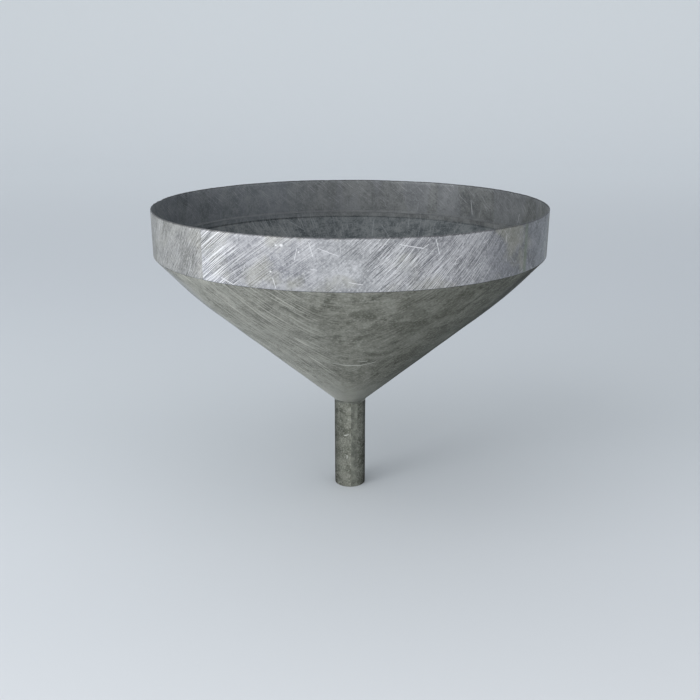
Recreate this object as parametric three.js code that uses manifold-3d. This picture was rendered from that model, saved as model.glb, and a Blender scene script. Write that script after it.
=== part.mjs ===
// A sheet-metal funnel for fuel and oil: a rolled rim band, a two-slope cone and a
// straight spout, lapped or butted together and closed with runs of solder.
// Millimetres, +Z up. The origin is the centre of the spout's lower end, and the
// funnel's axis is the Z axis. An azimuth is counter-clockwise from +X, seen from above.

import * as THREE from "three";
import { mergeVertices } from "three/addons/utils/BufferGeometryUtils.js";
import Module from "manifold-3d";

const wasm = await Module();
wasm.setup();

// Driving dimensions.
const HEIGHT = 236;
const RIM_RADIUS = 150;
const BAND_HEIGHT = 34;
const KNEE_RADIUS = 123.4;
const KNEE_DROP = 29.3;
const SPOUT_RADIUS = 12.7;
const SPOUT_LENGTH = 76;
const SHEET = 0.8;
const SPOUT_WALL = 1.0;
const GAP = 0.3;

// Joints between the sheets.
const FLANGE_HEIGHT = 4;
const COLLAR_LENGTH = 10;
const SEAM_LAP = 15;
const BAND_SEAM_AZIMUTH = 230.4;
const BAND_SEAM_OPENING = 3;
const CONE_SEAM_AZIMUTH = 20;
const CONE_SEAM_FROM_AXIS = 18;
const CONE_SEAM_BELOW_BAND = 3;
const SPOUT_SEAM_AZIMUTH = 285;
const SPOUT_SEAM_OPENING = 1.6;
const LAP_WEB = 2;

// Solder fillets, by the length of their legs.
const RIM_FILLET = 1.8;
const NECK_FILLET = 1.4;
const CONE_SEAM_BEAD = 1.4;

// Flat faces around the big rings and around the spout.
const RING_SIDES = 96;
const SPOUT_SIDES = 48;

// Heights and slopes that follow from the driving dimensions.
const BAND_BOTTOM = HEIGHT - BAND_HEIGHT;
const KNEE_HEIGHT = BAND_BOTTOM - KNEE_DROP;
const LOWER_SLOPE = (KNEE_HEIGHT - SPOUT_LENGTH) / (KNEE_RADIUS - SPOUT_RADIUS);
const BORE_RADIUS = SPOUT_RADIUS - SPOUT_WALL;
const COLLAR_RADIUS = BORE_RADIUS - GAP;
const FLANGE_RADIUS = RIM_RADIUS - SHEET - GAP;
const FLANGE_TOP = BAND_BOTTOM + FLANGE_HEIGHT;
const SLANTED_GAP = GAP * Math.hypot(1, LOWER_SLOPE);

// Height of the lower cone's outside at a radius.
function lowerConeHeight(radius) {
  return SPOUT_LENGTH + LOWER_SLOPE * (radius - SPOUT_RADIUS);
}

// A point of a half section: its distance from the axis and its height.
function at(radius, height) {
  return new THREE.Vector2(radius, height);
}

// The path moved sideways to its left, with mitred corners.
function offsetPath(path, distance) {
  const sides = path.slice(1).map((end, i) => {
    const along = end.clone().sub(path[i]).normalize();
    return { along, normal: at(-along.y, along.x) };
  });
  return path.map((point, i) => {
    const before = sides[Math.max(i - 1, 0)].normal;
    const after = sides[Math.min(i, sides.length - 1)].normal;
    const mitre = before.clone().add(after).multiplyScalar(distance / (1 + before.dot(after)));
    return point.clone().add(mitre);
  });
}

// The closed outline of a strip of material between two offsets of a path.
function stripOutline(path, rightOffset, leftOffset) {
  return [...offsetPath(path, rightOffset), ...offsetPath(path, leftOffset).reverse()];
}

// The closed outline of a rectangle in the half section.
function ringOutline(innerRadius, outerRadius, bottom, top) {
  return [
    at(innerRadius, bottom),
    at(outerRadius, bottom),
    at(outerRadius, top),
    at(innerRadius, top),
  ];
}

// A closed solid from a geometry whose faces share their vertices.
function solidOf(geometry) {
  const bare = geometry.clone();
  bare.deleteAttribute("normal");
  bare.deleteAttribute("uv");
  const welded = mergeVertices(bare);
  const vertProperties = new Float32Array(welded.attributes.position.array);
  const triVerts = new Uint32Array(welded.index.array);
  return new wasm.Manifold(new wasm.Mesh({ numProp: 3, vertProperties, triVerts }));
}

// A solid of revolution about Z from an outline that runs counter-clockwise.
function revolve(outline, sides) {
  const closed = [...outline, outline[0]];
  const geometry = new THREE.LatheGeometry(closed, sides);
  geometry.rotateX(Math.PI / 2);
  return solidOf(geometry);
}

// An upright slab that runs out from the axis at an azimuth, between two sideways distances.
function slab(azimuth, from, to) {
  const reach = RIM_RADIUS + SEAM_LAP;
  const height = HEIGHT + SEAM_LAP;
  const box = new THREE.BoxGeometry(reach, to - from, 2 * height);
  box.translate(reach / 2, (from + to) / 2, 0);
  box.rotateZ(THREE.MathUtils.degToRad(azimuth));
  return solidOf(box);
}

// The rim band: a strip rolled into a ring. At its seam the strip's one end steps in by a
// sheet's thickness and passes under the other end, and it stops above the cone's flange.
function rimBand() {
  const inside = RIM_RADIUS - SHEET;
  const ring = revolve(ringOutline(inside, RIM_RADIUS, BAND_BOTTOM, HEIGHT), RING_SIDES);
  const tabOutside = inside - GAP;
  const tabBottom = FLANGE_TOP + GAP;
  const tab = revolve(ringOutline(tabOutside - SHEET, tabOutside, tabBottom, HEIGHT), RING_SIDES);
  const step = revolve(ringOutline(tabOutside - SHEET, RIM_RADIUS, tabBottom, HEIGHT), RING_SIDES);
  const stepStart = -BAND_SEAM_OPENING - LAP_WEB;
  return ring
    .subtract(slab(BAND_SEAM_AZIMUTH, -BAND_SEAM_OPENING, 0))
    .add(tab.intersect(slab(BAND_SEAM_AZIMUTH, stepStart, SEAM_LAP)))
    .add(step.intersect(slab(BAND_SEAM_AZIMUTH, stepStart, -BAND_SEAM_OPENING)));
}

// The solder in the opening beside the band's outer end, flush with the band.
function rimLapSolder() {
  const inside = FLANGE_RADIUS + GAP;
  const outline = ringOutline(inside, RIM_RADIUS, BAND_BOTTOM + GAP, HEIGHT - GAP);
  const run = slab(BAND_SEAM_AZIMUTH, GAP - BAND_SEAM_OPENING, -GAP);
  return revolve(outline, RING_SIDES).intersect(run);
}

// The cone: a collar that enters the spout, two slopes that meet at the knee, and a
// flange that stands up inside the band. Its outer lap runs down one side.
function coneBody() {
  const shoulder = BAND_BOTTOM - GAP;
  const path = [
    at(COLLAR_RADIUS, SPOUT_LENGTH - COLLAR_LENGTH),
    at(COLLAR_RADIUS, lowerConeHeight(COLLAR_RADIUS)),
    at(KNEE_RADIUS, KNEE_HEIGHT),
    at(RIM_RADIUS, shoulder),
    at(FLANGE_RADIUS, shoulder),
    at(FLANGE_RADIUS, FLANGE_TOP),
  ];
  const sheet = revolve(stripOutline(path, 0, SHEET), RING_SIDES);
  const lap = revolve(stripOutline(coneSeamPath(), -GAP - SHEET, -GAP), RING_SIDES);
  const step = revolve(stripOutline(coneSeamPath(), -GAP - SHEET, SHEET / 2), RING_SIDES);
  return sheet
    .subtract(slab(CONE_SEAM_AZIMUTH, -GAP, 0))
    .add(lap.intersect(slab(CONE_SEAM_AZIMUTH, -GAP - LAP_WEB, SEAM_LAP)))
    .add(step.intersect(slab(CONE_SEAM_AZIMUTH, -GAP - LAP_WEB, -GAP)));
}

// The stretch of the cone's outside that its lap covers, from near the neck to near the band.
function coneSeamPath() {
  const upperSlope = KNEE_DROP / (RIM_RADIUS - KNEE_RADIUS);
  const topRadius = RIM_RADIUS - CONE_SEAM_BELOW_BAND / upperSlope;
  return [
    at(CONE_SEAM_FROM_AXIS, lowerConeHeight(CONE_SEAM_FROM_AXIS)),
    at(KNEE_RADIUS, KNEE_HEIGHT),
    at(topRadius, BAND_BOTTOM - CONE_SEAM_BELOW_BAND),
  ];
}

// The solder bead beside the free edge of the cone's lap.
function coneSeamSolder() {
  const outline = stripOutline(coneSeamPath(), -GAP - SHEET, -GAP);
  const start = SEAM_LAP + GAP;
  const run = slab(CONE_SEAM_AZIMUTH, start, start + CONE_SEAM_BEAD);
  return revolve(outline, RING_SIDES).intersect(run);
}

// The solder fillet between the top of the cone's flange and the inside of the band,
// left out where the band's inner end passes.
function rimToConeSolder() {
  const bottom = FLANGE_TOP + GAP;
  const outline = [
    at(FLANGE_RADIUS - SHEET, bottom),
    at(FLANGE_RADIUS, bottom),
    at(FLANGE_RADIUS, bottom + RIM_FILLET),
  ];
  const innerEnd = slab(BAND_SEAM_AZIMUTH, -BAND_SEAM_OPENING - LAP_WEB - GAP, SEAM_LAP + GAP);
  return revolve(outline, RING_SIDES).subtract(innerEnd);
}

// The spout: a tube rolled from sheet, open along its butt seam, with its upper end cut
// to the slope of the cone that rests on it.
function spoutTube() {
  const outline = [
    at(BORE_RADIUS, 0),
    at(SPOUT_RADIUS, 0),
    at(SPOUT_RADIUS, lowerConeHeight(SPOUT_RADIUS) - SLANTED_GAP),
    at(BORE_RADIUS, lowerConeHeight(BORE_RADIUS) - SLANTED_GAP),
  ];
  const opening = SPOUT_SEAM_OPENING / 2;
  return revolve(outline, SPOUT_SIDES).subtract(slab(SPOUT_SEAM_AZIMUTH, -opening, opening));
}

// The solder that fills the spout's butt seam.
function spoutSeamSolder() {
  const top = lowerConeHeight(BORE_RADIUS) - SLANTED_GAP;
  const outline = ringOutline(BORE_RADIUS, SPOUT_RADIUS, GAP, top);
  const halfRun = SPOUT_SEAM_OPENING / 2 - GAP;
  return revolve(outline, SPOUT_SIDES).intersect(slab(SPOUT_SEAM_AZIMUTH, -halfRun, halfRun));
}

// The solder fillet around the neck, in the corner under the cone.
function neckSolder() {
  const inner = SPOUT_RADIUS + GAP;
  const outer = inner + NECK_FILLET;
  const top = lowerConeHeight(inner) - SLANTED_GAP;
  const outline = [
    at(inner, top - NECK_FILLET),
    at(outer, lowerConeHeight(outer) - SLANTED_GAP),
    at(inner, top),
  ];
  return revolve(outline, SPOUT_SIDES);
}

// Zinc-coated sheet, rubbed bright by handling.
function bandMetal() {
  return new THREE.MeshStandardMaterial({ color: 0xb4b6bc, roughness: 0.42, metalness: 0.85 });
}

// Zinc-coated sheet, weathered to a dull olive grey.
function coneMetal() {
  return new THREE.MeshStandardMaterial({ color: 0x7c8078, roughness: 0.55, metalness: 0.75 });
}

// The same sheet, darker from dipping in oil.
function spoutMetal() {
  return new THREE.MeshStandardMaterial({ color: 0x6f7469, roughness: 0.58, metalness: 0.75 });
}

// Wiped soft solder.
function solderMetal() {
  return new THREE.MeshStandardMaterial({ color: 0x93968f, roughness: 0.5, metalness: 0.8 });
}

// A named mesh from a solid.
function piece(name, solid, material) {
  const mesh = solid.getMesh();
  const geometry = new THREE.BufferGeometry();
  geometry.setAttribute("position", new THREE.BufferAttribute(mesh.vertProperties, 3));
  geometry.setIndex(new THREE.BufferAttribute(mesh.triVerts, 1));
  geometry.computeVertexNormals();
  const object = new THREE.Mesh(geometry, material);
  object.name = name;
  return object;
}

const funnel = new THREE.Group();
funnel.name = "funnel";
funnel.add(piece("rim_band", rimBand(), bandMetal()));
funnel.add(piece("rim_lap_solder", rimLapSolder(), solderMetal()));
funnel.add(piece("rim_to_cone_solder", rimToConeSolder(), solderMetal()));
funnel.add(piece("cone_body", coneBody(), coneMetal()));
funnel.add(piece("cone_seam_solder", coneSeamSolder(), solderMetal()));
funnel.add(piece("neck_solder", neckSolder(), solderMetal()));
funnel.add(piece("spout_tube", spoutTube(), spoutMetal()));
funnel.add(piece("spout_seam_solder", spoutSeamSolder(), solderMetal()));

export default funnel;
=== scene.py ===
import math

import bmesh
import bpy
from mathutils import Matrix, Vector, noise


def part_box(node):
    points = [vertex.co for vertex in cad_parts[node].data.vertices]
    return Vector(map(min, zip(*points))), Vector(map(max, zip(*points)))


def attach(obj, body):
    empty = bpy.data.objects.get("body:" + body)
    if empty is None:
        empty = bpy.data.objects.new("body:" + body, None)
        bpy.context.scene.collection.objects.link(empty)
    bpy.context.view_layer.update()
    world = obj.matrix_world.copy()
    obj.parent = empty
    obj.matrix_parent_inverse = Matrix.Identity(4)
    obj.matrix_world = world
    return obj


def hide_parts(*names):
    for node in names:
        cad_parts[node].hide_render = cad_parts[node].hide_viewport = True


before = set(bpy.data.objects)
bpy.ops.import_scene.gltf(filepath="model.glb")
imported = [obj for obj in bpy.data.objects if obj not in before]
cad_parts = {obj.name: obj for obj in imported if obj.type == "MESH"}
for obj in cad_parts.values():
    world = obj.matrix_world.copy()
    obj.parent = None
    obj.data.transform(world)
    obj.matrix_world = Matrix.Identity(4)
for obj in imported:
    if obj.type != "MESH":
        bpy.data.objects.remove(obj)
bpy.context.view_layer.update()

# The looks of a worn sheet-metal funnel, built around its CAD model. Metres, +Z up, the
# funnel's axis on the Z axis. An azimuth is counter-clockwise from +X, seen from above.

MM = 0.001

# Sizes that the CAD model gives.
RIM_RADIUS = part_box("rim_band")[1].x
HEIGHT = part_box("rim_band")[1].z
BAND_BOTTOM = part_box("rim_band")[0].z
FLANGE_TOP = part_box("cone_body")[1].z
COLLAR_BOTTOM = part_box("cone_body")[0].z
SPOUT_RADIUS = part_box("spout_tube")[1].x

# Sizes that no box gives, the same as in the CAD model.
SHEET = 0.8 * MM
SPOUT_WALL = 1.0 * MM
SPOUT_LENGTH = 76.0 * MM
KNEE_RADIUS = 123.4 * MM
KNEE_HEIGHT = BAND_BOTTOM - 29.3 * MM
COLLAR_RADIUS = 11.4 * MM
FLANGE_RADIUS = 148.9 * MM
BAND_SEAM_AZIMUTH = math.radians(230.4)
CONE_SEAM_AZIMUTH = math.radians(20.0)
SPOUT_SEAM_AZIMUTH = math.radians(285.0)
SEAM_LAP = 15.0 * MM

# Fine shape, which the CAD model leaves out.
HAIRLINE = 0.03 * MM            # between surfaces that would otherwise touch
SAME_PLACE = 0.001 * MM
LAP_CLEARANCE = 0.06 * MM
LAP_STEP = SHEET + LAP_CLEARANCE
JOGGLE = 4.0 * MM               # length over which a sheet steps past another
JOGGLE_END = 1.2 * MM
BAND_DENT = 0.11 * MM
CONE_WAVE = 0.14 * MM
SPOUT_WAVE = 0.06 * MM
SEAM_HALF_WIDTH = 2.6 * MM      # of the solder on the spout's seam
TORN_LIP_AZIMUTH = BAND_SEAM_AZIMUTH + math.radians(311.0)
KNEE_BEND = 16.0 * MM
NECK_BEND = 1.5 * MM
SHOULDER_BEND = 0.3 * MM
LAP_TAPER = 6.0 * MM

LOWER_SLOPE = (KNEE_HEIGHT - SPOUT_LENGTH) / (KNEE_RADIUS - SPOUT_RADIUS)
UPPER_SLOPE = (BAND_BOTTOM - KNEE_HEIGHT) / (RIM_RADIUS - KNEE_RADIUS)
BAND_LENGTH = 2 * math.pi * RIM_RADIUS
ANGLE_REACH = 0.1       # metres of pattern for each radian around the cone
INSIDE_SHIFT = 2.0      # metres from the outside's pattern to the inside's


# ------------------------------------------------------------------ geometry helpers

def clamp(value, low=0.0, high=1.0):
    return max(low, min(high, value))


def smooth_step(value, start, end):
    t = clamp((value - start) / (end - start))
    return t * t * (3 - 2 * t)


def spread(start, end, count):
    """count + 1 evenly spaced numbers from start to end."""
    return [start + (end - start) * i / count for i in range(count + 1)]


def polar(radius, azimuth, height):
    return Vector((radius * math.cos(azimuth), radius * math.sin(azimuth), height))


def ripple(azimuth, height, waves, seed):
    """Smooth noise from -1 to 1 that closes on itself around the axis."""
    place = Vector((waves * math.cos(azimuth), waves * math.sin(azimuth), 20 * height + seed))
    return clamp(2.0 * noise.noise(place), -1.0, 1.0)


def rounded(path, bends):
    """The path with each inner corner turned into a smooth bend of the given reach."""
    result = [path[0]]
    for before, corner, after, bend in zip(path, path[1:], path[2:], bends):
        start = corner + (before - corner).normalized() * bend
        end = corner + (after - corner).normalized() * bend
        result.extend(start.lerp(corner, t).lerp(corner.lerp(end, t), t)
                      for t in spread(0.0, 1.0, 6))
    result.append(path[-1])
    return result


def subdivided(path, step):
    """The path with points at most a step apart."""
    result = [path[0]]
    for start, end in zip(path, path[1:]):
        count = max(1, math.ceil((end - start).length / step))
        result.extend(start.lerp(end, i / count) for i in range(1, count + 1))
    return result


def lengths_along(path):
    """How far each point lies from the path's start."""
    result = [0.0]
    for start, end in zip(path, path[1:]):
        result.append(result[-1] + (end - start).length)
    return result


def moved_aside(path, distance):
    """The path moved to its left, with mitred corners."""
    sides = []
    for start, end in zip(path, path[1:]):
        along = (end - start).normalized()
        sides.append(Vector((-along.y, along.x)))
    result = []
    for i, point in enumerate(path):
        before = sides[max(i - 1, 0)]
        after = sides[min(i, len(sides) - 1)]
        result.append(point + (before + after) * distance / (1 + before.dot(after)))
    return result


def cap(points):
    """Triangles that close an outline, zipped up between its two sides."""
    low, high = 0, len(points) - 1
    triangles = []
    while high - low > 1:
        low_side_first = (points[low + 1] - points[high]).length < (
            points[high - 1] - points[low]).length
        triangles.append((low, low + 1 if low_side_first else high - 1, high))
        if low_side_first:
            low += 1
        else:
            high -= 1
    return triangles


def clean(mesh):
    """Points that fall together become one, and every face looks outwards."""
    work = bmesh.new()
    work.from_mesh(mesh)
    bmesh.ops.remove_doubles(work, verts=work.verts, dist=SAME_PLACE)
    bmesh.ops.recalc_face_normals(work, faces=work.faces)
    work.to_mesh(mesh)
    work.free()


def loft(name, point, place, sections, outline, closed=False, material_of=None):
    """A closed body through cross-sections. point(i, k) is point k of section i, and
    place(i, k) its place on the flat sheet. Each section closes on itself. The body
    closes on itself too, or else its two end sections get caps."""
    def index(i, k):
        return (i % sections) * outline + k % outline

    points = [point(i, k) for i in range(sections) for k in range(outline)]
    faces = [((i, k), (i + 1, k), (i + 1, k + 1), (i, k + 1))
             for i in range(sections if closed else sections - 1)
             for k in range(outline)]
    kinds = [material_of(corners[0][1]) if material_of else 0 for corners in faces]
    if not closed:
        for i in (0, sections - 1):
            ends = cap([point(i, k) for k in range(outline)])
            faces.extend([(i, k) for k in corners] for corners in ends)
            kinds.extend([0] * len(ends))
    mesh = bpy.data.meshes.new(name)
    mesh.from_pydata(points, [], [[index(*corner) for corner in face] for face in faces])
    numbers = [number for face in faces for corner in face for number in place(*corner)]
    mesh.uv_layers.new(name="sheet").data.foreach_set("uv", numbers)
    mesh.polygons.foreach_set("material_index", kinds)
    clean(mesh)
    mesh.shade_smooth()
    mesh.set_sharp_from_angle(angle=math.radians(40))
    mesh.update()
    piece = bpy.data.objects.new(name, mesh)
    bpy.context.scene.collection.objects.link(piece)
    return piece


def dress(piece, node, materials):
    """Gives a piece its materials, puts it under the root body, and hides the CAD node of the
    same part.
    """
    for material in materials:
        piece.data.materials.append(material)
    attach(piece, "root")
    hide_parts(node)


def strip_section(height, thickness, step):
    """The outline of an upright strip with round edges: the outside going up, the top
    edge, the inside coming down, the bottom edge. Each point is its depth behind the
    outside and its height. The second result is the number of points that face out."""
    edge = thickness / 2
    count = round(height / step)
    outside = [Vector((0.0, z)) for z in spread(edge, height - edge, count)]
    inside = [Vector((thickness, point.y)) for point in reversed(outside)]
    turn = [math.pi * t for t in spread(0.0, 1.0, 6)][1:-1]
    top = [Vector((edge * (1 - math.cos(a)), height - edge + edge * math.sin(a))) for a in turn]
    bottom = [Vector((edge * (1 + math.cos(a)), edge - edge * math.sin(a))) for a in turn]
    return outside + top + inside + bottom, len(outside) + len(top)


# ------------------------------------------------------------------ the pieces

def band_dent(azimuth, height):
    """How far the hand-rolled band lies inside its true circle."""
    return BAND_DENT * (1 + ripple(azimuth, height, 2.6, 3.0))


def rim_band(materials):
    """The rolled strip: its last stretch steps in and passes under its own start."""
    band_height = HEIGHT - BAND_BOTTOM
    outline, facing_out = strip_section(band_height, SHEET, 2.6 * MM)
    lap_start = BAND_LENGTH - 2 * JOGGLE
    stations = spread(0.0, lap_start, 460)
    stations += spread(lap_start, BAND_LENGTH + SEAM_LAP, 46)[1:]

    def point(i, k):
        along = stations[i]
        depth, height = outline[k]
        azimuth = BAND_SEAM_AZIMUTH + along / RIM_RADIUS
        step_in = LAP_STEP * smooth_step(along, BAND_LENGTH - JOGGLE - JOGGLE_END,
                                         BAND_LENGTH - JOGGLE_END)
        radius = RIM_RADIUS - depth - step_in - band_dent(azimuth, height)
        torn = 1 + 3.5 * (1 - smooth_step(abs(azimuth - TORN_LIP_AZIMUTH), 0.08, 0.25))
        nicks = 0.09 * MM * torn * (1 + ripple(azimuth, 0.0, 45.0, 12.0))
        uneven = 0.12 * MM * (1 + ripple(azimuth, 0.0, 5.0, 9.0)) * height / band_height
        uneven += nicks * smooth_step(height, band_height - 3 * MM, band_height)
        return polar(radius, azimuth, BAND_BOTTOM + height - uneven)

    def place(i, k):
        inside = k % len(outline) >= facing_out
        return stations[i], outline[k % len(outline)].y + (INSIDE_SHIFT if inside else 0.0)

    piece = loft("rim_band_sheet", point, place, len(stations), len(outline),
                 material_of=lambda k: 1 if k >= facing_out else 0)
    dress(piece, "rim_band", materials)


def rim_lap_solder(materials):
    """A thin fillet in the upright corner beside the band's outer end."""
    heights = spread(BAND_BOTTOM + 0.4 * MM, HEIGHT - 0.9 * MM, 60)
    floor_radius = RIM_RADIUS - LAP_STEP + HAIRLINE
    corner_count = 7

    def point(i, k):
        height = heights[i]
        leg = (0.8 + 0.18 * ripple(0.0, height, 1.0, 30.0)) * MM
        dent = band_dent(BAND_SEAM_AZIMUTH, height - BAND_BOTTOM)
        if k == 0:
            aside, rise = HAIRLINE, 0.0
        else:
            t = (k - 1) / (corner_count - 1)
            bow = 1 - 0.3 * math.sin(math.pi * t)
            aside = HAIRLINE + leg * (1 - t) * bow
            rise = 0.8 * leg * t * bow
        radius = floor_radius + rise - dent
        return polar(radius, BAND_SEAM_AZIMUTH - aside / RIM_RADIUS, height)

    def place(i, k):
        return k * 0.2 * MM, heights[i]

    piece = loft("rim_lap_solder_run", point, place, len(heights), corner_count + 1)
    dress(piece, "rim_lap_solder", materials)


def cone_paths():
    """The cone's outside going up and its inside coming down, as points of a half section."""
    under = SPOUT_LENGTH + LOWER_SLOPE * (COLLAR_RADIUS - SPOUT_RADIUS)
    slopes = [
        Vector((COLLAR_RADIUS, COLLAR_BOTTOM)),
        Vector((COLLAR_RADIUS, under)),
        Vector((KNEE_RADIUS, KNEE_HEIGHT)),
        Vector((RIM_RADIUS - HAIRLINE, BAND_BOTTOM - HAIRLINE)),
    ]
    flange_foot = Vector((FLANGE_RADIUS, BAND_BOTTOM - HAIRLINE))
    flange_top = Vector((FLANGE_RADIUS, FLANGE_TOP))
    outside = rounded(slopes + [flange_foot, flange_top],
                      [NECK_BEND, KNEE_BEND, SHOULDER_BEND, HAIRLINE])
    behind = moved_aside(slopes, SHEET)
    slope_end = behind[3] + (behind[2] - behind[3]) * (
        (behind[3].x - FLANGE_RADIUS + SHEET) / (behind[3].x - behind[2].x))
    inner_top = Vector((FLANGE_RADIUS - SHEET, FLANGE_TOP))
    inside = rounded([inner_top, slope_end, behind[2], behind[1], behind[0]],
                     [SHOULDER_BEND, KNEE_BEND, NECK_BEND])
    return subdivided(outside, 2.2 * MM), subdivided(inside, 2.2 * MM)


def outward(radius):
    """The direction away from the cone's outside, in the half section."""
    lower = Vector((LOWER_SLOPE, -1.0)).normalized()
    upper = Vector((UPPER_SLOPE, -1.0)).normalized()
    return lower.lerp(upper, smooth_step(radius, KNEE_RADIUS - KNEE_BEND,
                                         KNEE_RADIUS + KNEE_BEND)).normalized()


def cone_wave(radius, azimuth, height):
    """How far the hand-worked cone stands out from its true shape."""
    calm = smooth_step(BAND_BOTTOM - height, 0.0, 10 * MM) * smooth_step(
        radius, SPOUT_RADIUS, 3 * SPOUT_RADIUS)
    return CONE_WAVE * calm * ripple(azimuth, height, 60 * radius, 50.0)


def flange_step(azimuth, height):
    """The flange is pressed in where the band's inner end passes it."""
    along = RIM_RADIUS * math.remainder(azimuth - BAND_SEAM_AZIMUTH, 2 * math.pi)
    before = smooth_step(along, -2 * JOGGLE - JOGGLE_END, -JOGGLE - JOGGLE_END)
    after = 1 - smooth_step(along, SEAM_LAP + JOGGLE_END, SEAM_LAP + JOGGLE_END + JOGGLE)
    return LAP_STEP * before * after * smooth_step(height, BAND_BOTTOM - 2 * MM, BAND_BOTTOM)


def cone_body(materials):
    """The cone's sheet, wound once around the axis and lapped over its own start."""
    outside, inside = cone_paths()
    outline = outside + inside
    along_sheet = lengths_along(outside)
    along_sheet += [along_sheet[-1] - length for length in lengths_along(inside)]
    turns = [(angle, 0.0) for angle in spread(0.0, 2 * math.pi, 300)[:-1]]
    laps = [(2 * math.pi, aside) for aside in spread(-2 * JOGGLE, SEAM_LAP, 46)]
    stations = turns + laps

    def lap_share(k):
        """1 along the slopes, falling to 0 beside the collar and the flange."""
        neck_side = smooth_step(outline[k].x, SPOUT_RADIUS + 3 * MM, SPOUT_RADIUS + LAP_TAPER)
        band_side = smooth_step(BAND_BOTTOM - outline[k].y, 2 * MM, LAP_TAPER)
        return neck_side * band_side

    def sheet_azimuth(i, k):
        radius = outline[k].x
        angle, aside = stations[i]
        if i < len(turns):
            return angle * (1 - 2 * JOGGLE / (2 * math.pi * radius))
        width = aside if aside < 0 else aside * clamp(2 * lap_share(k) - 1)
        return angle + (width - 2 * HAIRLINE) / radius

    def point(i, k):
        radius, height = outline[k]
        azimuth = CONE_SEAM_AZIMUTH + sheet_azimuth(i, k)
        aside = stations[i][1]
        lifted = smooth_step(aside, -JOGGLE - JOGGLE_END, -JOGGLE_END) if i >= len(turns) else 0
        lift = LAP_STEP * lifted * clamp(2 * lap_share(k))
        place = Vector((radius - flange_step(azimuth, height), height))
        place += outward(radius) * (lift + cone_wave(radius, azimuth, height))
        return polar(place.x, azimuth, place.y)

    def place(i, k):
        shift = INSIDE_SHIFT if k % len(outline) >= len(outside) - 1 else 0.0
        return (sheet_azimuth(i, k % len(outline)) * ANGLE_REACH,
                along_sheet[k % len(outline)] + shift)

    piece = loft("cone_sheet", point, place, len(stations), len(outline),
                 material_of=lambda k: 1 if k >= len(outside) - 1 else 0)
    dress(piece, "cone_body", materials)


def cone_seam_solder(materials):
    """A bead along the free edge of the cone's lap."""
    start_radius = SPOUT_RADIUS + LAP_TAPER + 1 * MM
    end_radius = RIM_RADIUS - LAP_TAPER
    path = rounded([
        Vector((start_radius, SPOUT_LENGTH + LOWER_SLOPE * (start_radius - SPOUT_RADIUS))),
        Vector((KNEE_RADIUS, KNEE_HEIGHT)),
        Vector((end_radius, BAND_BOTTOM - UPPER_SLOPE * (RIM_RADIUS - end_radius))),
    ], [KNEE_BEND])
    path = subdivided(path, 1.2 * MM)
    lengths = lengths_along(path)
    corner_count = 7

    def point(i, k):
        radius, height = path[i]
        ends = min(1.0, 0.2 + min(lengths[i], lengths[-1] - lengths[i]) / (4 * MM))
        leg = (1.3 + 0.35 * ripple(0.0, lengths[i], 1.0, 70.0)) * MM * ends
        if k == 0:
            aside, rise = 0.0, 0.0
        else:
            t = (k - 1) / (corner_count - 1)
            bow = 1 - 0.25 * math.sin(math.pi * t)
            aside = leg * (1 - t) * bow
            rise = 0.7 * min(leg, 1.1 * MM) * t * bow
        azimuth = CONE_SEAM_AZIMUTH + (SEAM_LAP + HAIRLINE + aside) / radius
        proud = cone_wave(radius, azimuth, height) + rise + HAIRLINE
        place = path[i] + outward(radius) * proud
        return polar(place.x, azimuth, place.y)

    def place(i, k):
        return k * 0.2 * MM, lengths[i]

    piece = loft("cone_seam_solder_run", point, place, len(path), corner_count + 1)
    dress(piece, "cone_seam_solder", materials)


def rim_to_cone_solder(materials):
    """The fillet between the top of the cone's flange and the inside of the band."""
    sections = 360
    corner_count = 6

    def point(i, k):
        azimuth = 2 * math.pi * i / sections
        pressed = flange_step(azimuth, FLANGE_TOP)
        leg = (1.9 + 0.4 * ripple(azimuth, 0.0, 9.0, 90.0)) * MM
        wall = RIM_RADIUS - SHEET - HAIRLINE - pressed - 2 * band_dent(azimuth, 5 * MM)
        if k == 0:
            return polar(wall, azimuth, FLANGE_TOP + HAIRLINE)
        t = (k - 1) / (corner_count - 1)
        bow = 1 - 0.1 * math.sin(math.pi * t)
        radius = wall - (1 - t) * bow * (SHEET + 0.25 * MM)
        return polar(radius, azimuth, FLANGE_TOP + HAIRLINE + leg * t * bow)

    def place(i, k):
        return i / sections * BAND_LENGTH, k * 0.3 * MM

    piece = loft("rim_to_cone_solder_run", point, place, sections, corner_count + 1, closed=True)
    dress(piece, "rim_to_cone_solder", materials)


def spout_wave(azimuth, height):
    """How far the rolled spout stands out from its true shape."""
    calm = smooth_step(SPOUT_LENGTH - height, 0.0, 12 * MM)
    return SPOUT_WAVE * calm * (ripple(azimuth, height, 1.4, 110.0) - 1)


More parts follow.
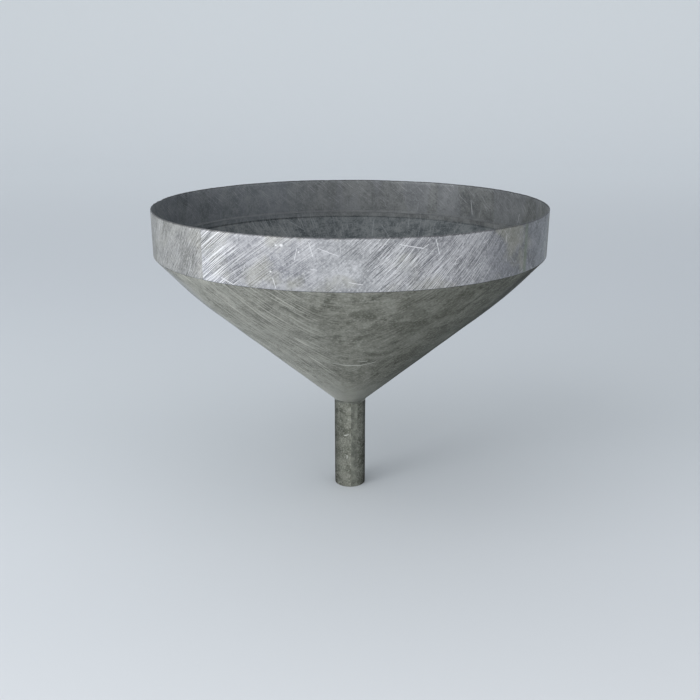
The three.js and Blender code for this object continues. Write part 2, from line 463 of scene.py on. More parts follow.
def spout_tube(materials):
    """The rolled spout, with its upper end cut to the cone's slope."""
    inner = SPOUT_RADIUS - SPOUT_WALL
    outer_top = SPOUT_LENGTH - 0.1 * MM
    inner_top = outer_top - LOWER_SLOPE * SPOUT_WALL
    edge = 0.35 * MM
    outside = rounded([Vector((inner, 0.0)),
                       Vector((SPOUT_RADIUS, 0.0)),
                       Vector((SPOUT_RADIUS, outer_top))], [edge])[1:]
    inside = rounded([Vector((inner, inner_top)),
                      Vector((inner, 0.0)),
                      Vector((SPOUT_RADIUS, 0.0))], [edge])[:-1]
    outside = subdivided(outside, 1.8 * MM)
    inside = subdivided(inside, 1.8 * MM)
    outline = outside + inside
    half_gap = 0.15 * MM / SPOUT_RADIUS
    angles = spread(half_gap, 2 * math.pi - half_gap, 112)

    def point(i, k):
        radius, height = outline[k]
        azimuth = SPOUT_SEAM_AZIMUTH + angles[i]
        return polar(radius + spout_wave(azimuth, height), azimuth, height)

    def place(i, k):
        shift = INSIDE_SHIFT if k % len(outline) >= len(outside) else 0.0
        return angles[i] * SPOUT_RADIUS, outline[k % len(outline)].y + shift

    piece = loft("spout_sheet", point, place, len(angles), len(outline),
                 material_of=lambda k: 1 if k >= len(outside) else 0)
    dress(piece, "spout_tube", materials)


def spout_seam_solder(materials):
    """Solder wiped thin over the spout's butt seam."""
    heights = spread(0.6 * MM, SPOUT_LENGTH - 0.5 * MM, 60)
    across = spread(-1.0, 1.0, 10)
    outline = [(t, 1) for t in across] + [(t, 0) for t in reversed(across)]

    def point(i, k):
        t, side = outline[k]
        height = heights[i]
        half_width = SEAM_HALF_WIDTH + 0.4 * MM * ripple(0.0, height, 1.0, 130.0 + t)
        azimuth = SPOUT_SEAM_AZIMUTH + t * half_width / SPOUT_RADIUS
        below_neck = smooth_step(SPOUT_LENGTH - height, 1.4 * MM, 3.0 * MM)
        proud = 0.02 * MM + side * (0.02 + 0.12 * (1 - t * t) * below_neck) * MM
        return polar(SPOUT_RADIUS + proud + spout_wave(azimuth, height), azimuth, height)

    def place(i, k):
        return outline[k % len(outline)][0] * SEAM_HALF_WIDTH, heights[i]

    piece = loft("spout_seam_solder_run", point, place, len(heights), len(outline))
    dress(piece, "spout_seam_solder", materials)


def neck_solder(materials):
    """The small fillet in the corner between the spout and the cone."""
    sections = 160
    corner_count = 8
    wall = SPOUT_RADIUS + 0.1 * MM

    def point(i, k):
        azimuth = 2 * math.pi * i / sections
        leg = (1.0 + 0.25 * ripple(azimuth, 0.0, 2.4, 150.0)) * MM
        top = SPOUT_LENGTH + LOWER_SLOPE * (wall - SPOUT_RADIUS) - 0.1 * MM
        foot = Vector((wall, top - leg))
        corner = Vector((wall, top))
        tip = Vector((wall + leg, top + LOWER_SLOPE * leg))
        if k == 0:
            return polar(corner.x, azimuth, corner.y)
        t = (k - 1) / (corner_count - 1)
        middle = foot.lerp(tip, 0.5).lerp(corner, 0.35)
        bent = foot.lerp(middle, t).lerp(middle.lerp(tip, t), t)
        return polar(bent.x, azimuth, bent.y)

    def place(i, k):
        return i / sections * 2 * math.pi * wall, k * 0.2 * MM

    piece = loft("neck_solder_run", point, place, sections, corner_count + 1, closed=True)
    dress(piece, "neck_solder", materials)


# ------------------------------------------------------------------ material helpers

def colour(code):
    """A linear colour from a screen colour written as 0xRRGGBB."""
    parts = [(code >> shift & 255) / 255 for shift in (16, 8, 0)]
    linear = [c / 12.92 if c <= 0.04045 else ((c + 0.055) / 1.055) ** 2.4 for c in parts]
    return (*linear, 1.0)


GREY_90, GREY_50, GREY_30, GREY_10 = [(v, v, v, 1.0) for v in (0.9, 0.5, 0.3, 0.1)]
SHINE_STEP = 6.0      # how much further a light fleck goes than a dark one, in linear light


class Paint:
    """One material's node tree, with short ways to add to it. Places are in millimetres."""

    def __init__(self, name, metallic, specular=0.5, edge=1.0):
        self.material = bpy.data.materials.new(name)
        self.material.use_nodes = True
        self.tree = self.material.node_tree
        self.shader = self.tree.nodes["Principled BSDF"]
        self.shader.inputs["Metallic"].default_value = metallic
        self.shader.inputs["Specular IOR Level"].default_value = specular
        self.shader.inputs["Specular Tint"].default_value = (edge, edge, edge, 1.0)

    def node(self, kind, inputs, **settings):
        """A node with its settings and inputs. An input is a number or another output."""
        made = self.tree.nodes.new(kind)
        for key, value in settings.items():
            setattr(made, key, value)
        for key, value in inputs.items():
            self.feed(made.inputs[key], value)
        return made

    def feed(self, socket, value):
        if isinstance(value, bpy.types.NodeSocket):
            self.tree.links.new(value, socket)
        else:
            socket.default_value = value

    def maths(self, operation, first, second=0.0, clamped=False):
        return self.node("ShaderNodeMath", {0: first, 1: second}, operation=operation,
                         use_clamp=clamped).outputs[0]

    def vector(self, operation, first, second=(0.0, 0.0, 0.0)):
        return self.node("ShaderNodeVectorMath", {0: first, 1: second}, operation=operation)

    def sheet(self):
        """The place on the flat sheet: along it and across it."""
        source = self.node("ShaderNodeUVMap", {}, uv_map="sheet").outputs[0]
        return self.vector("MULTIPLY", source, (1000.0,) * 3).outputs[0]

    def solid(self):
        """The place in space."""
        source = self.node("ShaderNodeTexCoord", {}).outputs["Object"]
        return self.vector("MULTIPLY", source, (1000.0,) * 3).outputs[0]

    def part(self, place, axis):
        return self.node("ShaderNodeSeparateXYZ", {0: place}).outputs[axis]

    def remap(self, value, low, high, new_low=0.0, new_high=1.0):
        return self.node("ShaderNodeMapRange", {
            "Value": value, "From Min": low, "From Max": high,
            "To Min": new_low, "To Max": new_high,
        }, interpolation_type="SMOOTHSTEP").outputs["Result"]

    def mix(self, amount, first, second, blend="MIX"):
        made = self.node("ShaderNodeMix", {}, data_type="RGBA", blend_type=blend)
        self.feed(made.inputs["Factor"], amount)
        colours = [socket for socket in made.inputs if socket.type == "RGBA"]
        self.feed(colours[0], first)
        self.feed(colours[1], second)
        return next(socket for socket in made.outputs if socket.type == "RGBA")

    def ramp(self, value, stops):
        """A colour that changes smoothly through stops, each a value and its colour."""
        low, high = stops[0][0], stops[-1][0]
        share = self.node("ShaderNodeMapRange", {
            "Value": value, "From Min": low, "From Max": high}).outputs["Result"]
        made = self.node("ShaderNodeValToRGB", {0: share})
        made.color_ramp.interpolation = "EASE"
        elements = made.color_ramp.elements
        elements[1].position = 1.0
        for place, _ in stops[1:-1]:
            elements.new((place - low) / (high - low))
        for element, (_, tint) in zip(elements, stops):
            element.color = tint
        return made.outputs["Color"]

    def blend(self, amount, first, second):
        """A number between two others."""
        return self.node("ShaderNodeMix", {0: amount, 2: first, 3: second}).outputs[0]

    def wavy(self, place, size, reach):
        """The place shifted this way and that, so that straight strokes bend a little."""
        waves = self.node("ShaderNodeTexNoise", {"Vector": place, "Scale": 1.0 / size})
        shift = self.vector("SUBTRACT", waves.outputs["Color"], (0.5, 0.5, 0.5)).outputs[0]
        return self.vector("ADD", place, self.vector(
            "MULTIPLY", shift, reach).outputs[0]).outputs[0]

    def clouds(self, place, size, detail=4.0, roughness=0.55, warp=0.0, seed=0.0):
        """Soft noise from 0 to 1, its patches about size wide."""
        shifted = self.vector("ADD", place, (seed * 37.0, seed * 53.0, seed * 71.0)).outputs[0]
        return self.node("ShaderNodeTexNoise", {
            "Vector": shifted, "Scale": 1.0 / size, "Detail": detail,
            "Roughness": roughness, "Distortion": warp,
        }).outputs["Fac"]

    def speckled(self, base, place, size, tones, amount, seed):
        """The base with light and dark flecks about size wide."""
        field = self.clouds(place, size, detail=4.0, roughness=0.7, seed=seed)
        dark, light = tones
        base = self.mix(self.weaker(self.remap(field, 0.5, 0.66), amount), base, light)
        return self.mix(self.weaker(self.remap(field, 0.48, 0.32), amount), base, dark)

    def strokes(self, place, degrees, length, width, low, high, seed=0.0, detail=2.0):
        """Many soft parallel strokes, 0 to 1, that lie at an angle to the sheet's length."""
        turned = self.node("ShaderNodeVectorRotate", {
            "Vector": place, "Angle": math.radians(-degrees),
        }, rotation_type="Z_AXIS").outputs[0]
        squeezed = self.vector("MULTIPLY", turned, (1 / length, 1 / width, 1.0)).outputs[0]
        shifted = self.vector("ADD", squeezed, (seed * 3.7, seed * 5.3, seed)).outputs[0]
        field = self.node("ShaderNodeTexNoise", {
            "Vector": shifted, "Scale": 1.0, "Detail": detail, "Roughness": 0.6,
        }).outputs["Fac"]
        return self.remap(field, low, high)

    def scratches(self, place, cell, length, width, seed, degrees=0.0, scatter=180.0):
        """Thin straight scratches, at most one in each cell, turned by up to half the
        scatter either way."""
        scaled = self.vector("MULTIPLY", place, (1 / cell, 1 / cell, 0.0)).outputs[0]
        shifted = self.vector("ADD", scaled, (seed * 11.3, seed * 7.9, 0.0)).outputs[0]
        cells = self.node("ShaderNodeTexVoronoi", {"Vector": shifted, "Scale": 1.0},
                          voronoi_dimensions="2D")
        offset = self.vector("SUBTRACT", shifted, cells.outputs["Position"]).outputs[0]
        chance = self.node("ShaderNodeSeparateColor", {0: cells.outputs["Color"]})
        turn = self.maths("MULTIPLY_ADD", chance.outputs[0], math.radians(scatter))
        turn.node.inputs[2].default_value = math.radians(-degrees - scatter / 2)
        turned = self.node("ShaderNodeVectorRotate", {"Vector": offset, "Angle": turn},
                           rotation_type="Z_AXIS").outputs[0]
        apart = self.node("ShaderNodeSeparateXYZ", {0: turned})
        along = self.maths("ABSOLUTE", apart.outputs[0])
        across = self.maths("ABSOLUTE", apart.outputs[1])
        line = self.remap(across, width / cell, 0.25 * width / cell)
        extent = self.remap(along, length / cell / 2, 0.3 * length / cell)
        strength = self.remap(chance.outputs[1], 0.3, 0.9)
        return self.maths("MULTIPLY", self.maths("MULTIPLY", line, extent), strength)

    def mark(self, place, start, end, width):
        """One scratch between two points of the sheet."""
        along = Vector((end[0] - start[0], end[1] - start[1], 0.0))
        offset = self.vector("SUBTRACT", place, (start[0], start[1], 0.0)).outputs[0]
        share = self.vector("DOT_PRODUCT", offset, along / along.length_squared).outputs["Value"]
        held = self.maths("ADD", share, 0.0, clamped=True)
        nearest = self.node("ShaderNodeVectorMath", {0: tuple(along), "Scale": held},
                            operation="SCALE").outputs[0]
        apart = self.vector("DISTANCE", offset, nearest).outputs["Value"]
        return self.remap(apart, width, 0.3 * width)

    def strongest(self, masks):
        result = masks[0]
        for mask in masks[1:]:
            result = self.maths("MAXIMUM", result, mask)
        return result

    def weaker(self, mask, amount):
        return self.maths("MULTIPLY", mask, amount)

    def beyond(self, shade, shine, step):
        """A tone darker than the shade and a tone lighter than the shine."""
        grey = colour(step << 16 | step << 8 | step)
        return (self.mix(1.0, shade, grey, "SUBTRACT"),
                self.mix(1.0, shine, tuple(SHINE_STEP * part for part in grey), "ADD"))

    def inner_zinc(self, tint, solid, seed):
        """Cloudy zinc in shades of one tint."""
        light = self.mix(1.0, tint, colour(0x4c4e4c), "ADD")
        dark = self.mix(1.0, tint, colour(0x3a3a3c), "SUBTRACT")
        base = self.mix(self.remap(self.clouds(
            solid, 20.0, detail=5.0, roughness=0.65, seed=seed), 0.38, 0.62), dark, light)
        base = self.mix(0.2, base, tint)
        base = self.speckled(base, solid, 6.0, (dark, light), 0.75, seed + 1)
        return self.speckled(base, solid, 1.5, (dark, light), 0.85, seed + 2)

    def dark_lip_line(self, base, sheet, solid, foot=0.0):
        """A dark line, uneven in width, along the band's upper edge."""
        ragged = self.clouds(solid, 2.5, detail=3.0, seed=80.0)
        level = self.maths("ADD", self.part(sheet, 1), self.maths("MULTIPLY", ragged, 1.6))
        lip = foot + (HEIGHT - BAND_BOTTOM) / MM
        return self.mix(self.weaker(self.remap(level, lip - 0.4, lip + 0.5), 0.75), base,
                        colour(0x33363a))

    def finish(self, base, roughness, height, depth):
        """Connects the colour, the roughness and a height whose full range is depth."""
        bump = self.node("ShaderNodeBump", {"Height": height, "Distance": depth}).outputs[0]
        self.feed(self.shader.inputs["Base Color"], base)
        self.feed(self.shader.inputs["Roughness"], roughness)
        self.feed(self.shader.inputs["Normal"], bump)
        return self.material


# ------------------------------------------------------------------ the materials

# Single scratches on the band: start and end, along the band from its outer end and up
# from its lower edge, and width, in millimetres.
BAND_MARKS = (
    ((134.0, 29.5), (149.0, 26.5), 0.40),
    ((149.0, 26.5), (152.5, 28.8), 0.36),
    ((157.5, 31.5), (160.0, 22.5), 0.36),
    ((103.0, 6.5), (111.5, 5.0), 0.32),
    ((78.5, 31.0), (81.0, 22.5), 0.24),
    ((84.0, 27.5), (96.5, 23.0), 0.26),
    ((71.0, 26.5), (69.5, 20.0), 0.24),
    ((55.0, 7.5), (57.0, 1.0), 0.28),
    ((17.0, 4.0), (26.0, 0.8), 0.48),
    ((172.0, 17.5), (176.0, 20.0), 0.36),
    ((186.0, 9.0), (191.0, 13.5), 0.28),
    ((118.0, 15.0), (127.0, 20.5), 0.22),
)
BAND_SPOTS = ((61.0, 28.5, 1.4), (57.5, 28.3, 0.8), (72.0, 24.8, 0.6), (53.5, 11.5, 0.7))

# Scratches on the other sheets, in the same way. Around the cone a hundred millimetres
# stand for one radian. The spout's run from its seam.
CONE_MARKS = (
    ((420.0, 94.0), (432.0, 90.5), 0.60),
    ((432.0, 90.5), (446.0, 90.0), 0.85),
    ((446.0, 90.0), (461.0, 95.0), 0.60),
    ((444.0, 97.0), (452.0, 98.0), 0.50),
)
SPOUT_MARKS = (
    ((72.0, 46.5), (75.0, 47.5), 0.45),
    ((74.0, 26.0), (74.0, 29.0), 0.35),
)

# Bright upright scratches inside the band: start and end, along the band from its outer
# end and up from its lower edge, and width.
INNER_MARKS = (
    ((452.0, 9.0), (454.0, 21.0), 0.50),
    ((392.0, 10.0), (390.0, 17.0), 0.50),
    ((352.0, 6.0), (350.5, 15.0), 0.50),
    ((325.0, 5.0), (321.0, 11.0), 0.45),
)

# Colours inside the funnel, from its left side to its right side, in millimetres. They are the
# zinc's grey with painted light and shade from side to side.
INNER_TINTS_AND_SIDE_LIGHT = (
    (-150.0, colour(0x6a6f74)), (-90.0, colour(0x81868b)), (0.0, colour(0x7d8082)),
    (90.0, colour(0x696c6e)), (150.0, colour(0x747778)),
)

# Places on the sheets, in millimetres.
INNER_ROW = INSIDE_SHIFT / MM       # the band's lower edge, on its inside
FLANGE_FOOT = BAND_BOTTOM / MM
FRONT_OF_CONE = ANGLE_REACH / MM * (1.5 * math.pi - CONE_SEAM_AZIMUTH)
SWEEP = 290.0                       # how far the cone's streaks climb at its front


def band_outside():
    """Bright rubbed zinc with dense slanting scratches, duller beyond the worn stretch, with
    painted light on its left side and painted shade on its right.
    """
    paint = Paint("band_outside_metal", metallic=0.5)
    sheet = paint.sheet()
    solid = paint.solid()
    along = paint.part(sheet, 0)
    patches = paint.clouds(solid, 16.0, detail=5.0, roughness=0.65)
    # The tone along the band is partly wear and partly painted light and shade: lighter on the
    # left side, darkest from the right side round to the back.
    shade = paint.ramp(along, [
        (0.0, colour(0x8e9096)), (14.0, colour(0x8c8e94)), (26.0, colour(0x727479)),
        (60.0, colour(0x7e8086)), (110.0, colour(0x8f9194)),
        (170.0, colour(0x838488)),
        (215.0, colour(0x5c5f64)), (300.0, colour(0x5a5e64)), (820.0, colour(0x666868)),
        (900.0, colour(0x797a78)), (960.0, colour(0x7c7d7b)),
    ])
    shine = paint.ramp(along, [
        (0.0, colour(0xced0d8)), (14.0, colour(0xcacbd3)), (26.0, colour(0xa6a7ac)),
        (60.0, colour(0xb2b3b7)), (110.0, colour(0xc9cacd)),
        (170.0, colour(0xc0c0c4)), (215.0, colour(0x808287)), (300.0, colour(0x7f8388)),
        (820.0, colour(0x888a8a)),
        (900.0, colour(0xa4a4a1)), (960.0, colour(0xa8a8a6)),
    ])
    base = paint.mix(paint.remap(patches, 0.36, 0.64), shade, shine)
    tones = (shade, shine)
    base = paint.speckled(base, solid, 6.0, tones, 0.5, 1.0)
    base = paint.speckled(base, solid, 1.5, paint.beyond(shade, shine, 0x20), 0.8, 2.0)
    olive = paint.maths("MULTIPLY", paint.remap(
        paint.clouds(solid, 30.0, detail=3.0, seed=5.0), 0.5, 0.64),
        paint.remap(along, 210.0, 300.0, 0.4, 0.15))
    base = paint.mix(olive, base, colour(0x95947f))

    dense = paint.ramp(along, [
        (0.0, GREY_90), (22.0, GREY_90), (32.0, GREY_50), (62.0, GREY_30), (112.0, GREY_50),
        (134.0, GREY_90), (178.0, GREY_50), (222.0, GREY_10), (840.0, GREY_10),
        (900.0, GREY_30), (960.0, GREY_30),
    ])
    gusts = paint.remap(paint.clouds(sheet, 22.0, detail=2.0, seed=3.0), 0.36, 0.62, 0.4, 1.0)
    gusts = paint.strongest([gusts, paint.remap(along, 30.0, 16.0)])
    dense = paint.maths("MULTIPLY", dense, gusts)
    bent = paint.wavy(sheet, 70.0, (2.0, 2.0, 0.0))
    shallow = paint.strongest([
        paint.strokes(bent, 36.0, 55.0, 0.45, 0.5, 0.6, seed=1.0),
        paint.strokes(bent, 37.0, 70.0, 0.7, 0.56, 0.6, seed=8.0),
        paint.strokes(bent, 34.0, 90.0, 1.1, 0.55, 0.66, seed=2.0),
    ])
    steep = paint.strongest([
        paint.strokes(bent, 50.0, 40.0, 0.45, 0.5, 0.62, seed=4.0),
        paint.strokes(bent, 47.0, 60.0, 0.9, 0.56, 0.68, seed=5.0),
    ])
    slants = paint.blend(paint.remap(along, 70.0, 125.0), shallow, steep)
    hatch = paint.weaker(paint.strokes(bent, 62.0, 14.0, 0.6, 0.53, 0.68, seed=7.0), 0.5)
    cross = paint.weaker(paint.strokes(bent, -42.0, 22.0, 0.45, 0.6, 0.75, seed=6.0), 0.5)
    worn = paint.strongest([
        paint.maths("MULTIPLY", slants, dense),
        paint.maths("MULTIPLY", hatch, paint.remap(along, 840.0, 890.0)),
        paint.maths("MULTIPLY", cross, gusts)])
    worn_end = paint.remap(along, 245.0, 190.0)
    single = paint.scratches(sheet, 13.0, 6.0, 0.28, 2.0, degrees=45.0, scatter=140.0)
    single = paint.maths("MULTIPLY", single, paint.remap(worn_end, 0.0, 1.0, 0.3, 0.6))
    marks = paint.strongest(
        [paint.mark(sheet, start, end, width) for start, end, width in BAND_MARKS]
        + [paint.mark(sheet, (x, y), (x + 0.3, y), size) for x, y, size in BAND_SPOTS])
    light = paint.strongest([worn, single, paint.weaker(marks, 0.8)])
    dark = paint.maths("MULTIPLY", paint.remap(dense, 0.0, 0.8), paint.strokes(
        bent, 38.0, 45.0, 0.55, 0.47, 0.6, seed=9.0))
    base = paint.mix(paint.weaker(dark, 0.85), base, colour(0x484b52))
    base = paint.mix(paint.weaker(light, 0.95), base, colour(0xfafafc))
    base = paint.mix(paint.weaker(paint.mark(sheet, (239.0, 2.0), (239.0, 32.0), 3.0), 0.5),
                     base, colour(0x66735f))
    base = paint.dark_lip_line(base, sheet, solid)
    roughness = paint.remap(paint.maths("ADD", light, paint.weaker(patches, 0.5)),
                            0.0, 1.2, 0.52, 0.32)
    height = paint.maths("SUBTRACT", paint.weaker(patches, 0.6), paint.weaker(light, 0.5))
    return paint.finish(base, roughness, height, 0.00012)


def band_inside():
    """Dark slate zinc with slanting swirls and a few bright scratches, and painted light and
    shade from side to side.
    """
    paint = Paint("band_inside_metal", metallic=0.5)
    sheet = paint.sheet()
    solid = paint.solid()
    # The tint across the funnel carries painted light and shade from side to side.
    tint = paint.ramp(paint.part(solid, 0), INNER_TINTS_AND_SIDE_LIGHT)
    base = paint.inner_zinc(tint, solid, 12.0)
    upright = paint.strokes(sheet, 90.0, 120.0, 22.0, 0.5, 0.56, seed=14.0, detail=1.0)
    base = paint.mix(paint.weaker(upright, 0.22), base, colour(0x8f939b))
    fine = paint.strokes(sheet, 84.0, 14.0, 0.6, 0.58, 0.76, seed=15.0)
    bent = paint.wavy(sheet, 25.0, (8.0, 8.0, 0.0))
    slants = paint.strokes(bent, 38.0, 20.0, 0.7, 0.54, 0.7, seed=16.0)
    high = paint.remap(paint.part(sheet, 1), INNER_ROW + 6.0, INNER_ROW + 26.0, 0.3, 1.0)
    single = paint.scratches(sheet, 22.0, 9.0, 0.35, 17.0, degrees=80.0, scatter=60.0)
    marks = paint.strongest(
        [paint.mark(sheet, (start[0], start[1] + INNER_ROW), (end[0], end[1] + INNER_ROW), width)
         for start, end, width in INNER_MARKS])
    light = paint.strongest([
        paint.weaker(fine, 0.25), paint.weaker(paint.maths("MULTIPLY", slants, high), 0.5),
        paint.weaker(single, 0.5), paint.weaker(marks, 0.8)])
    base = paint.mix(paint.weaker(light, 0.8), base, colour(0xc4c7cb))
    base = paint.dark_lip_line(base, sheet, solid, INNER_ROW)
    return paint.finish(base, 0.48, light, 0.0001)


def cone_outside():
    """Weathered olive-grey zinc, cloudy in front, with streaks that sweep down the sides, and
    painted light and shade around it.
    """
    paint = Paint("cone_outside_metal", metallic=0.35, specular=0.15, edge=0.15)
    sheet = paint.sheet()
    solid = paint.solid()
    around = paint.part(sheet, 0)
    patches = paint.clouds(solid, 20.0, detail=6.0, roughness=0.68, warp=0.8, seed=20.0)
    # Painted light and shade around the cone: lighter and bluish on the left, darker towards the
    # right, darkest near the right-hand edge as seen from the front.
    shade = paint.ramp(around, [
        (0.0, colour(0x505249)), (140.0, colour(0x66675f)), (240.0, colour(0x72736c)),
        (326.0, colour(0x7c7e80)),
        (350.0, colour(0x7d7e76)), (395.0, colour(0x70716a)), (436.0, colour(0x686960)),
        (482.0, colour(0x56574e)), (520.0, colour(0x494b44)), (536.0, colour(0x262823)),
        (556.0, colour(0x30322d)), (628.0, colour(0x4a4c44)),
    ])
    shine = paint.ramp(around, [
        (0.0, colour(0x707268)), (140.0, colour(0x8e8f86)), (240.0, colour(0x9c9c94)),
        (326.0, colour(0xa3a6a9)),
        (350.0, colour(0xb4b4ac)), (395.0, colour(0xa4a49b)), (436.0, colour(0x9d9d93)),
        (482.0, colour(0x818279)), (520.0, colour(0x6a6c63)), (536.0, colour(0x383a34)),
        (556.0, colour(0x484a43)), (628.0, colour(0x6a6c62)),
    ])
    tones = (shade, shine)
    base = paint.mix(paint.remap(patches, 0.34, 0.66), shade, shine)
    base = paint.speckled(base, solid, 7.0, tones, 0.6, 21.0)
    base = paint.speckled(base, solid, 1.6, paint.beyond(shade, shine, 0x26), 0.55, 22.0)
    turn = paint.maths("MULTIPLY", paint.maths("SUBTRACT", around, FRONT_OF_CONE), 0.01)
    facing = paint.maths("MAXIMUM", paint.maths("COSINE", turn), 0.0)
    sweep = paint.node("ShaderNodeCombineXYZ", {1: paint.maths(
        "MULTIPLY", SWEEP, paint.maths("POWER", facing, 2.0))}).outputs[0]
    swept = paint.vector("ADD", sheet, sweep).outputs[0]
    bent = paint.wavy(swept, 45.0, (0.0, 24.0, 0.0))
    beside = paint.remap(paint.maths("ABSOLUTE", paint.maths(
        "SUBTRACT", around, FRONT_OF_CONE)), 0.0, 45.0, 0.45, 1.0)
    broad = paint.maths("MULTIPLY", beside, paint.strokes(
        bent, 0.0, 26.0, 7.0, 0.52, 0.66, seed=23.0, detail=4.0))
    dark = paint.maths("MULTIPLY", beside, paint.strokes(
        bent, 0.0, 26.0, 9.0, 0.52, 0.66, seed=25.0, detail=4.0))
    fine = paint.strongest([
        paint.strokes(bent, 0.0, 22.0, 1.5, 0.54, 0.66, seed=24.0),
        paint.strokes(bent, 0.0, 30.0, 3.0, 0.57, 0.66, seed=27.0)])
    left_side = paint.ramp(around, [
        (240.0, GREY_10), (330.0, GREY_90), (400.0, GREY_90), (440.0, GREY_30), (500.0, GREY_10)])
    light = paint.maths("MULTIPLY", paint.maths("MULTIPLY", fine, beside), left_side)
    base = paint.mix(paint.weaker(dark, 0.5), base, shade)
    base = paint.mix(paint.weaker(broad, 0.45), base, shine)
    base = paint.mix(paint.weaker(light, 0.85), base, colour(0xdddcd2))
    # Painted light: the cone grows lighter towards the neck, standing in for the bright floor's
    # reflection.
    neck = paint.remap(paint.part(sheet, 1), 70.0, 22.0)
    base = paint.mix(paint.weaker(neck, 0.75), base, paint.beyond(shade, shine, 0x1e)[1])
    arcs = paint.strongest(
        [paint.mark(sheet, start, end, width) for start, end, width in CONE_MARKS])
    base = paint.mix(paint.weaker(arcs, 0.75), base, colour(0xe2e2da))
    roughness = paint.remap(patches, 0.3, 0.7, 0.6, 0.45)
    height = paint.maths("ADD", paint.weaker(patches, 0.7), paint.weaker(broad, 0.3))
    return paint.finish(base, roughness, height, 0.00025)


def cone_inside():
    """The same dark zinc as inside the band, with the same painted light and shade from side to
    side, and streaks that run down to the spout.
    """
    paint = Paint("cone_inside_metal", metallic=0.45)
    sheet = paint.sheet()
    solid = paint.solid()
    # The tint across the funnel carries painted light and shade from side to side.
    wall = paint.ramp(paint.part(solid, 0), INNER_TINTS_AND_SIDE_LIGHT)
    on_flange = paint.remap(paint.part(solid, 2), FLANGE_FOOT, FLANGE_FOOT + 1.0)
    tint = paint.mix(on_flange, colour(0x555a5e), wall)
    base = paint.inner_zinc(tint, solid, 30.0)
    down = paint.maths("MULTIPLY", paint.strokes(sheet, 84.0, 44.0, 1.1, 0.54, 0.68, seed=32.0),
                       paint.remap(paint.clouds(sheet, 40.0, seed=34.0), 0.45, 0.6))
    single = paint.scratches(sheet, 26.0, 22.0, 0.5, 33.0, degrees=70.0, scatter=40.0)
    light = paint.strongest([paint.weaker(down, 0.5), paint.weaker(single, 0.5)])
    base = paint.mix(paint.weaker(light, 0.6), base, colour(0xa6abb0))
    return paint.finish(base, 0.52, light, 0.0001)


def spout_outside():
    """Dark olive zinc, finely mottled, with a few bright nicks, and painted light and shade from
    side to side.
    """
    paint = Paint("spout_outside_metal", metallic=0.35, specular=0.15, edge=0.15)
    sheet = paint.sheet()
    solid = paint.solid()
    across = paint.part(solid, 0)
    patches = paint.clouds(solid, 9.0, detail=5.0, roughness=0.65, seed=40.0)
    # Painted light and shade across the spout: lightest a little right of the middle, darker at
    # the left edge, darkest at the right edge.
    shade = paint.ramp(across, [
        (-12.7, colour(0x3c3e38)), (-9.0, colour(0x53554e)), (2.0, colour(0x6c6e64)),
        (9.0, colour(0x52544c)), (12.7, colour(0x2a2c27))])
    shine = paint.ramp(across, [
        (-12.7, colour(0x5a5c55)), (-9.0, colour(0x7d7f76)), (2.0, colour(0x9fa096)),
        (9.0, colour(0x767870)), (12.7, colour(0x44463f))])
    base = paint.mix(paint.remap(patches, 0.38, 0.62), shade, shine)
    base = paint.speckled(base, solid, 3.5, (shade, shine), 0.6, 41.0)
    base = paint.speckled(base, solid, 1.2, paint.beyond(shade, shine, 0x26), 0.65, 43.0)
    nicks = paint.strongest(
        [paint.mark(sheet, start, end, width) for start, end, width in SPOUT_MARKS])
    base = paint.mix(paint.weaker(nicks, 0.85), base, colour(0xe4e5df))
    roughness = paint.remap(patches, 0.3, 0.7, 0.58, 0.42)
    return paint.finish(base, roughness, patches, 0.00015)


def spout_inside():
    """The dark bore."""
    paint = Paint("spout_inside_metal", metallic=0.4)
    solid = paint.solid()
    patches = paint.clouds(solid, 9.0, detail=4.0, seed=50.0)
    base = paint.mix(paint.remap(patches, 0.35, 0.65), colour(0x3c403b), colour(0x5a5e57))
    roughness = paint.remap(patches, 0.3, 0.7, 0.6, 0.48)
    return paint.finish(base, roughness, patches, 0.0001)


def inner_solder():
    """Old solder inside the funnel, in the grey of the sheets beside it, darkened as painted
    shade in the crease where it sits.
    """
    paint = Paint("inner_solder_metal", metallic=0.5)
    solid = paint.solid()
    # The tint across the funnel carries painted light and shade from side to side.
    base = paint.inner_zinc(paint.ramp(paint.part(solid, 0), INNER_TINTS_AND_SIDE_LIGHT), solid, 12.0)
    lumps = paint.clouds(solid, 1.4, detail=3.0, seed=61.0)
    # Painted shade: the fillet in the corner between the band and the flange is darkened well
    # below the sheets beside it.
    base = paint.mix(0.55, base, colour(0x3c4043))
    return paint.finish(base, 0.5, lumps, 0.0002)


def solder(name, dark, light):
    """Wiped soft solder: satin, slightly lumpy, with dull oxide patches."""
    paint = Paint(name, metallic=0.55)
    solid = paint.solid()
    patches = paint.clouds(solid, 5.0, detail=4.0, seed=60.0)
    lumps = paint.clouds(solid, 1.4, detail=3.0, seed=61.0)
    base = paint.mix(paint.remap(patches, 0.35, 0.65), dark, light)
    base = paint.speckled(base, solid, 1.2, (dark, light), 0.6, 62.0)
    roughness = paint.remap(lumps, 0.3, 0.7, 0.5, 0.38)
    return paint.finish(base, roughness, lumps, 0.0002)


# ------------------------------------------------------------------ studio

CAMERA_DISTANCE = 652.3 * MM      # from the funnel's axis, level
CAMERA_HEIGHT = 328.3 * MM
CAMERA_PITCH = math.radians(17.97)
CAMERA_VIEW = math.radians(45.0)


def add_camera():
    data = bpy.data.cameras.new("camera")
    data.sensor_width = 36.0
    data.lens = data.sensor_width / 2 / math.tan(CAMERA_VIEW / 2)
    data.clip_start = 0.01
    camera = bpy.data.objects.new("camera", data)
    camera.location = (0.0, -CAMERA_DISTANCE, CAMERA_HEIGHT)
    camera.rotation_euler = (math.pi / 2 - CAMERA_PITCH, 0.0, 0.0)
    bpy.context.scene.collection.objects.link(camera)
    bpy.context.scene.camera = camera


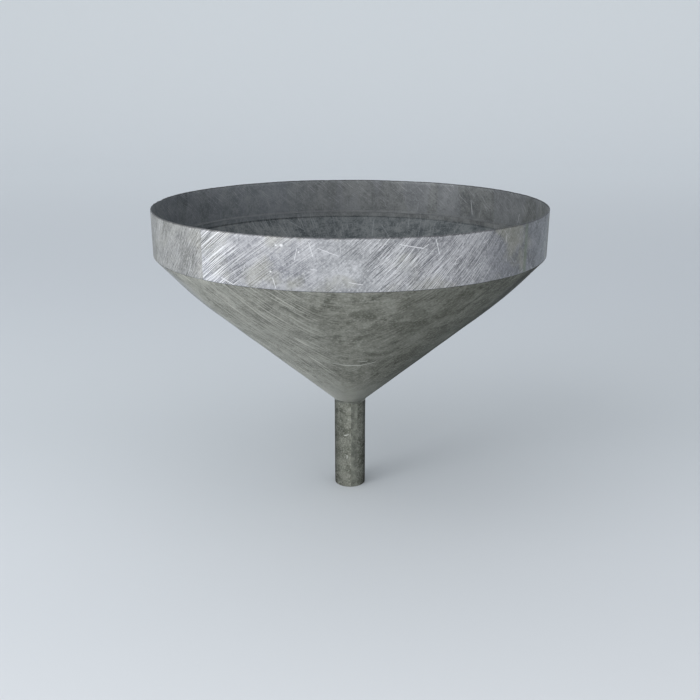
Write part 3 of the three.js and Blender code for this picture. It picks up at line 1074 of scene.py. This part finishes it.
def add_backdrop():
    """A pale floor that curves up into a wall far behind the funnel, with painted light and shade
    on it.
    """
    half_width = 6.0
    wall_start = 2.5
    bend = 2.0
    front = -4.0
    section = [Vector((front, 0.0)), Vector((wall_start, 0.0))]
    section += [Vector((wall_start + bend * math.sin(a), bend * (1 - math.cos(a))))
                for a in spread(0.0, math.pi / 2, 24)[1:]]
    section.append(Vector((wall_start + bend, 6.0)))
    points = [(x, point.x, point.y) for point in section for x in (-half_width, half_width)]
    faces = [(2 * i, 2 * i + 1, 2 * i + 3, 2 * i + 2) for i in range(len(section) - 1)]
    mesh = bpy.data.meshes.new("backdrop")
    mesh.from_pydata(points, [], faces)
    mesh.shade_smooth()
    backdrop = bpy.data.objects.new("backdrop", mesh)
    bpy.context.scene.collection.objects.link(backdrop)
    paint = Paint("backdrop_paint", metallic=0.0, specular=0.1)
    # Painted light and shade: the floor is lighter at the front, darker around and behind the
    # funnel, and lighter again up the wall.
    base = paint.ramp(paint.part(paint.solid(), 1), [
        (-400.0, colour(0xdfe3e7)),
        (-150.0, colour(0xd6dbe0)),
        (150.0, colour(0xcad0d5)),
        (700.0, colour(0xc7cdd3)),
        (2600.0, colour(0xdae0e5)),
        (4500.0, colour(0xe2e8ec)),
    ])
    backdrop.data.materials.append(paint.finish(base, 0.9, 0.0, 0.0))


def add_light(name, place, aim, size, power):
    data = bpy.data.lights.new(name, "AREA")
    data.shape = "DISK"
    data.size = size
    data.energy = power
    light = bpy.data.objects.new(name, data)
    light.location = place
    light.rotation_euler = (Vector(aim) - Vector(place)).to_track_quat("-Z", "Y").to_euler()
    bpy.context.scene.collection.objects.link(light)


def add_sky():
    world = bpy.data.worlds.new("studio")
    world.use_nodes = True
    background = world.node_tree.nodes["Background"]
    background.inputs["Color"].default_value = colour(0xf4f5f7)
    background.inputs["Strength"].default_value = 0.885
    bpy.context.scene.world = world


def add_studio():
    bpy.context.scene.view_settings.view_transform = "Standard"
    add_camera()
    add_backdrop()
    add_sky()
    add_light("key", (-1.4, -1.1, 1.3), (0.0, -0.1, 0.1), 2.2, 12.5)
    add_light("side", (-1.8, -1.2, 0.7), (0.0, 0.0, 0.15), 1.0, 10.0)


# ------------------------------------------------------------------ the whole scene

add_studio()
solder_metal = solder("solder_metal", colour(0x6c706b), colour(0x8d918d))
dark_solder_metal = solder("dark_solder_metal", colour(0x64665e), colour(0x909287))
rim_band([band_outside(), band_inside()])
rim_lap_solder([solder_metal])
rim_to_cone_solder([inner_solder()])
cone_body([cone_outside(), cone_inside()])
cone_seam_solder([solder_metal])
neck_solder([dark_solder_metal])
spout_tube([spout_outside(), spout_inside()])
spout_seam_solder([dark_solder_metal])
